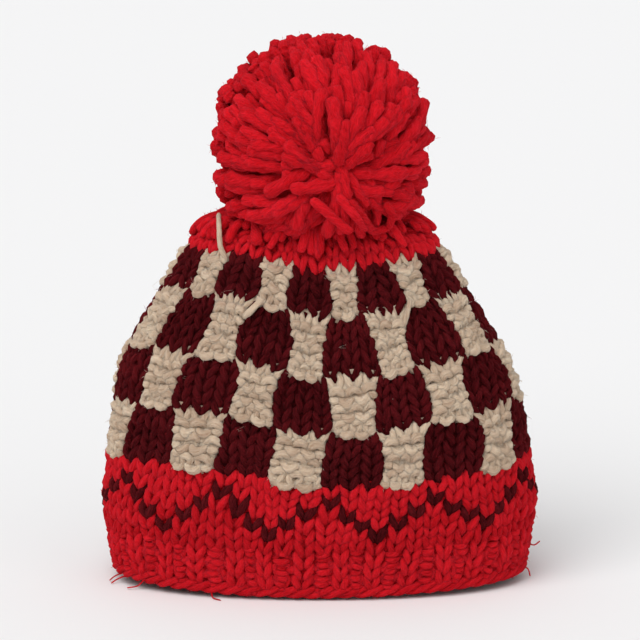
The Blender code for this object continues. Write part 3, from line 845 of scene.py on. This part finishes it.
def floats(strands, cloth, yarn, rows):
    """Where a yarn isn't in use, it lies across the inside of the cloth to its next run."""
    for row in rows:
        found = cloth.runs(row, yarn)
        stitches, shift = cloth.rows[row].stitches, cloth.rows[row].shift
        if len(found) < 2:
            continue
        for (first, count), (after, _) in zip(found, found[1:] + [(found[0][0] + stitches, 0)]):
            start, end = first + count - 0.6 + shift, after - 0.4 + shift
            t = np.linspace(0, 1, 14)
            x = start + (end - start) * t
            sag = np.sin(math.pi * t)
            place = row + 0.5 + ROW_RISE - 0.6 - 0.12 * sag
            out = CLOTH_DEPTH - FLOAT_SINK - FLOAT_SLACK * sag**0.4
            line = cloth.wall.at(x / stitches, cloth.path(place), out)
            strands.add(line[None], FLOAT_YARN, sides=FEW_SIDES)


def crown_height(wall, x, y):
    """The crown's height over places in the ground plan, for the bobble to lie on."""
    high = wall.height > CROWN_SHARE * TOP
    height, width, depth = [values[high][::6] for values in (wall.height, wall.width, wall.depth)]
    inside = (np.abs(x - TOP_SHIFT)[..., None] / width) ** SECTION_FULLNESS
    inside = inside + (np.abs(y)[..., None] / depth) ** SECTION_FULLNESS <= 1
    return np.where(inside, height, 0.0).max(axis=-1)


def bobble_reach(way):
    """How far the bobble reaches in each direction: a ball that sits down on the crown."""
    flat = np.hypot(way[..., 0], way[..., 1])
    full = np.where(way[..., 2] < 0, LOWER_FULLNESS, UPPER_FULLNESS)
    return (flat**full + np.abs(way[..., 2]) ** full) ** (-1 / full)


def spread_ways(count):
    """Directions spread evenly over a ball and then disturbed a little."""
    golden = math.pi * (3 - math.sqrt(5))
    index = np.arange(count)
    z = 1 - (2 * index + 1) / count
    across = np.sqrt(1 - z * z)
    way = np.stack([across * np.cos(golden * index), across * np.sin(golden * index), z], axis=1)
    return unit(way + rng.normal(0, UNEVENNESS, way.shape))


def bobble(layers, wall):
    """Hundreds of cut strands that bend outward from a parting at the front and another at the back."""
    front = np.array(BOBBLE_FRONT)
    front /= np.linalg.norm(front)
    back = -front * [1, 1, -1]
    count = BOBBLE_STRANDS
    for strands, layer in zip(layers, LAYERS):
        way = spread_ways(count)
        pole = np.where((way @ front > way @ back)[:, None], front, back)
        pole = unit(pole + rng.normal(0, PARTING_SCATTER, (count, 3)))
        near = np.sum(way * pole, axis=1)
        alpha = np.arccos(np.clip(near, -1, 1))
        away = unit(way - pole * near[:, None], 1e-9)
        alpha = PARTING + alpha * (EQUATOR - PARTING) / (math.pi / 2)
        way = pole * np.cos(alpha)[:, None] + away * np.sin(alpha)[:, None]
        sideways = np.cross(way, away)
        sway = rng.normal(0, SWAY, count)

        def toward(angle, skew):
            return unit(pole * np.cos(angle)[:, None] + away * np.sin(angle)[:, None] + sideways * skew[:, None])

        hollow = 1 - HOLLOW * np.exp(-((alpha / HOLLOW_WIDTH) ** 2))
        reach = rng.uniform(layer.low, layer.high, count) * bobble_reach(way) * hollow
        from_seam = np.clip(np.abs(way @ (front - back)) / SEAM_WIDTH, 0, 1)
        lean = layer.lean * (0.02 + 0.48 * from_seam) * rng.uniform(0.75, 1.2, count)
        bottom, middle, upper = [np.maximum(alpha - lean * share, least) for share, least in BENDS]
        controls = (
            toward(bottom, 0 * sway) * (layer.near_root * reach)[:, None],
            toward(middle, sway * 0.5) * (layer.near_tip * reach)[:, None],
            toward(upper, sway) * (0.96 * reach)[:, None],
            way * reach[:, None],
        )
        t = np.linspace(0, 1, layer.rings)[:, None, None]
        points = (
            controls[0] * (1 - t) ** 3
            + 3 * controls[1] * t * (1 - t) ** 2
            + 3 * controls[2] * t * t * (1 - t)
            + controls[3] * t**3
        )
        points = np.transpose(points, (1, 0, 2)) * BOBBLE_RADII + BOBBLE_CENTRE
        floor = crown_height(wall, points[..., 0], points[..., 1]) + STRAND_REST
        points[..., 2] += np.clip(floor - points[..., 2], 0, None)
        radius = rng.uniform(*STRAND_RADII, count)[:, None]
        slub = np.linspace(0, 38, layer.rings) * rng.uniform(0.7, 1.2, count)[:, None]
        slub += rng.uniform(0, 6, count)[:, None]
        radius = radius * (1 + 0.13 * np.sin(slub) + 0.07 * np.sin(slub * 0.43 + 1))
        radius[:, -1] *= 0.85
        # each strand's own tone at random, plus painted shade: darker towards the root deep in the bobble, so the tips
        # come out lighter
        shades = rng.uniform(0, 0.7, count)[:, None] + np.linspace(0, 0.35, layer.rings)
        strands.add(points, radius, sides=layer.sides, shades=shades, twist=LOOSE_TWIST, ends=0.4, lumps=0.13)


def skirt(strands, wall):
    """The bobble's lowest strands, which lie over the crown and hang past its shoulder."""
    for _ in range(SKIRT_STRANDS):
        turn = rng.uniform(0, 1)
        low = rng.uniform(0.875, 0.955)
        slant = rng.normal(0, 0.022)
        path = np.linspace(1.0, low, 11)
        t = np.linspace(0, 1, 11)
        room = 0.35 + 0.65 * abs(math.cos(2 * math.pi * turn))
        out = 0.0008 + room * (0.0010 + 0.0030 * np.sin(math.pi * (0.1 + 0.9 * t)) ** 2 + rng.uniform(0, 0.002))
        outer = wall.at(turn + slant * t, path, out)
        start = outer[0] * [0.45, 0.45, 1.0] + [0, 0, 0.004]
        inner = start + (outer[0] - start) * np.linspace(0, 0.8, 4)[:, None]
        line = np.concatenate([inner, outer])
        radius = rng.uniform(*SKIRT_RADII) * np.ones(len(line))
        radius[-1] *= 0.7
        strands.add(line[None], radius[None], shades=rng.uniform(0.1, 0.9), twist=LOOSE_TWIST, ends=0.4)


def bobble_core(strands):
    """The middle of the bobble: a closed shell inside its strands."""
    rows, columns = 24, 48
    polar = np.linspace(0.04, math.pi - 0.04, rows)[:, None]
    turn = np.linspace(0, 2 * math.pi, columns, endpoint=False)
    grid = np.stack([np.sin(polar) * np.cos(turn), np.sin(polar) * np.sin(turn), np.cos(polar) + 0 * turn], axis=-1)
    grid = grid * bobble_reach(grid)[..., None] * BOBBLE_RADII
    outer = grid * CORE_SHARE + BOBBLE_CENTRE
    inner = grid[::-1] * (CORE_SHARE - CORE_WALL) + BOBBLE_CENTRE
    shell = np.concatenate([outer, inner])
    shell[..., 2] = np.maximum(shell[..., 2], TOP + 0.001)
    strands.add_slab(shell)


def tie_knot(strands):
    """The yarn ends knotted against the inside of the crown."""
    t = np.linspace(0, 1, 90)
    a = 2 * math.pi * t
    x = (np.sin(a) + 2 * np.sin(2 * a)) * KNOT_REACH
    y = (np.cos(a) - 2 * np.cos(2 * a)) * KNOT_REACH
    z = -np.sin(3 * a) * KNOT_YARN
    middle = np.array([TOP_SHIFT, 0, TOP - KNOT_DROP])
    knot = np.stack([x, y, z], axis=1) + middle
    strands.add(knot[None], KNOT_YARN)
    for side, length in ((-1, 0.020), (1, 0.026)):
        s = np.linspace(0, 1, 20)
        tail = np.stack(
            [side * (0.003 + 0.008 * s), 0.004 * np.sin(2.5 * s) * side, -0.002 - length * s**1.3], axis=1
        )
        strands.add((tail + middle)[None], TAIL_YARN)


def on_wall(wall, pixels, out):
    """Points on the wall that the camera sees at the pixels, moved outward."""
    turns, paths = np.meshgrid(np.linspace(-0.25, 0.25, 400), np.linspace(0, 1, 260))
    seen = to_pixels(wall.at(turns, paths, 0.0))
    found = [np.argmin(np.sum((seen - pixel) ** 2, axis=-1)) for pixel in pixels]
    return wall.at(turns.ravel()[found], paths.ravel()[found], np.asarray(out, float))


def on_bobble(ball, pixels, out):
    """Points that the camera sees at the pixels, just in front of the bobble's strands."""
    verts = np.concatenate(ball.verts)
    seen = to_pixels(verts)
    found = []
    for (column, row), distance in zip(pixels, out):
        near = np.sum((seen - (column, row)) ** 2, axis=1) < SEARCH_PIXELS**2
        front = verts[near, 1].min() - distance
        across, rise = (column - PICTURE / 2) * FRAME_WIDTH / PICTURE, (PICTURE / 2 - row) * FRAME_WIDTH / PICTURE
        ray = AIM * CAMERA_DISTANCE + UP * rise + [across, 0, 0]
        found.append(EYE + ray * (front - EYE[1]) / ray[1])
    return np.array(found)


def to_pixels(points):
    """Where the camera sees points, in pixels of a 640-pixel picture."""
    ray = points - EYE
    scale = PICTURE / FRAME_WIDTH * CAMERA_DISTANCE / (ray @ AIM)
    return np.stack([PICTURE / 2 + ray[..., 0] * scale, PICTURE / 2 - (ray @ UP) * scale], axis=-1)


def smooth_line(points, count):
    """A smooth line through a few points."""
    points = np.asarray(points, float)
    along = np.concatenate([[0], np.cumsum(np.linalg.norm(np.diff(points, axis=0), axis=1))])
    curves = [monotone_curve(along, points[:, axis]) for axis in range(3)]
    at = np.linspace(0, along[-1], count)
    return np.stack([curve(at) for curve in curves], axis=1)


def loose_strand(strands, points, radius, count=18):
    """A slack length of yarn that lies on the hat where the photograph shows one."""
    line = smooth_line(points, count)
    radii = radius * (1 + 0.08 * np.sin(np.linspace(0, 7, count)))
    radii[0] *= 0.8
    radii[-1] *= 0.8
    strands.add(line[None], radii[None], ends=0.5)


def studio():
    """The floor, the lights and the camera."""
    scene = bpy.context.scene
    scene.view_settings.view_transform = "Standard"
    world = bpy.data.worlds.new("studio")
    scene.world = world
    world.use_nodes = True
    sky = world.node_tree.nodes["Background"]
    fill(world.node_tree, sky, {"Color": (1.0, 1.0, 1.0, 1.0), "Strength": WORLD_STRENGTH})
    mesh = bpy.data.meshes.new("floor")
    corners = [(x * FLOOR_REACH, y * FLOOR_REACH, 0) for x, y in ((-1, -1), (1, -1), (1, 1), (-1, 1))]
    mesh.from_pydata(corners, [], [(0, 1, 2, 3)])
    material = bpy.data.materials.new("floor_paper")
    material.use_nodes = True
    look = {"Base Color": FLOOR_COLOUR, "Roughness": 0.9, "Specular IOR Level": 0.1}
    fill(material.node_tree, material.node_tree.nodes["Principled BSDF"], look)
    mesh.materials.append(material)
    floor = add_object("floor", mesh)

    for name, place, softness, strength in SUNS:
        light = bpy.data.lights.new(name, "SUN")
        light.angle = math.radians(softness)
        light.energy = strength
        lamp = add_object(name, light)
        lamp.location = place
        lamp.rotation_euler = direction_euler(-np.array(place))

    camera = bpy.data.cameras.new("camera")
    view = add_object("camera", camera)
    view.location = EYE
    view.rotation_euler = direction_euler(AIM)
    camera.sensor_width = SENSOR
    camera.sensor_fit = "HORIZONTAL"
    camera.lens = SENSOR * CAMERA_DISTANCE / FRAME_WIDTH
    camera.clip_end = 50
    scene.camera = view


def direction_euler(aim):
    """The rotation of a lamp or camera that looks along aim."""
    return Vector(aim).to_track_quat("-Z", "Y").to_euler()


def main():
    """Knits the hat, piece by piece, over the part's frame."""
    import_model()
    studio()
    wall = Wall()
    cloth = Cloth(wall)
    ribs, bands, checks, crowns = [
        [i for i, row in enumerate(cloth.rows) if row.kind == kind] for kind in ("rib", "band", "check", "crown")
    ]

    hem = Strands()
    cast_on(hem, wall)
    knit(hem, cloth, "rib", ribs)
    rib_bumps(hem, cloth, ribs)
    backing(hem, wall, BACKING_LOW, HEM_HEIGHT, rows=5)
    hem_fuzz = Strands()
    hairs(hem_fuzz, hem, 2500)

    band = Strands()
    knit(band, cloth, "band", bands)
    floats(band, cloth, "band", bands)
    backing(band, wall, HEM_HEIGHT, BODY_LOW, rows=6)
    hairs(hem_fuzz, band, 3500)

    zigzag = Strands()
    knit(zigzag, cloth, "zigzag", bands)
    floats(zigzag, cloth, "zigzag", bands)
    maroon_fuzz = Strands()
    hairs(maroon_fuzz, zigzag, 800)

    dark = Strands()
    knit(dark, cloth, "maroon", checks, sides=FEW_SIDES)
    floats(dark, cloth, "maroon", checks)
    backing(dark, wall, BODY_LOW, CROWN_LOW, rows=16)
    hairs(maroon_fuzz, dark, 4500, LONG_HAIRS)

    light = Strands()
    knit(light, cloth, "cream", checks, sides=FEW_SIDES)
    padding(light, cloth, "cream", checks)
    floats(light, cloth, "cream", checks)
    purls = Strands()
    square_bumps(purls, cloth)
    cream_fuzz = Strands()
    hairs(cream_fuzz, purls, 4000)
    hairs(cream_fuzz, light, 2500)
    flyaways(cream_fuzz, light, 70)
    flyaways(cream_fuzz, dark, 40)

    crown = Strands()
    knit(crown, cloth, "crown", crowns)
    backing(crown, wall, CROWN_LOW, TOP, rows=8, close=True)

    ball, inner = Strands(), Strands()
    bobble((ball, inner), wall)
    skirt(ball, wall)
    ball_fuzz = Strands()
    hairs(ball_fuzz, ball, 11000, BOBBLE_HAIRS)
    hairs(ball_fuzz, crown, 1200)
    bobble_core(inner)

    for strands, loose in ((light, CREAM_ENDS), (ball, RED_ENDS)):
        for pixels, out, radius in loose:
            loose_strand(strands, on_wall(wall, pixels, out), radius)
    ends = [(on_bobble(ball, pixels, out), radius) for pixels, out, radius in BOBBLE_ENDS]
    for points, radius in ends:
        loose_strand(ball, points, radius)
    for pixels, out in HEM_WISPS:
        loose_strand(hem, on_wall(wall, pixels, (-0.001, 0.0025, out)), WISP, count=10)

    knot = Strands()
    tie_knot(knot)

    wool = {slot: yarn_material(look) for slot, look in WOOLS.items()}
    squares = [f"square_{tier}_{number:02d}" for tier in range(1, 5) for number in range(1, 11)]
    for strands, name, slot, nodes in (
        (hem, "hem_knit", "red_yarn", ["ribbed_hem"]),
        (band, "band_knit", "red_yarn", ["zigzag_band"]),
        (zigzag, "zigzag_knit", "maroon_yarn", ["zigzag_line"]),
        (dark, "maroon_knit", "maroon_yarn", ["checked_body"]),
        (purls, "cream_knit", "cream_yarn", squares),
        (light, "cream_ground", "cream_yarn", []),
        (crown, "crown_knit", "red_yarn", ["gathered_crown"]),
        (ball, "bobble_strands", "bobble_yarn", ["bobble"]),
        (inner, "bobble_inner", "bobble_yarn", []),
        (knot, "tie_knot", "bobble_yarn", ["bobble_tie"]),
        (hem_fuzz, "red_fuzz", "red_yarn", []),
        (maroon_fuzz, "maroon_fuzz", "maroon_yarn", []),
        (cream_fuzz, "cream_fuzz", "cream_yarn", []),
        (ball_fuzz, "bobble_fuzz", "bobble_yarn", []),
    ):
        piece = strands.build(name, wool[slot])
        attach(piece, "root")
        if nodes:
            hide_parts(*nodes)


main()
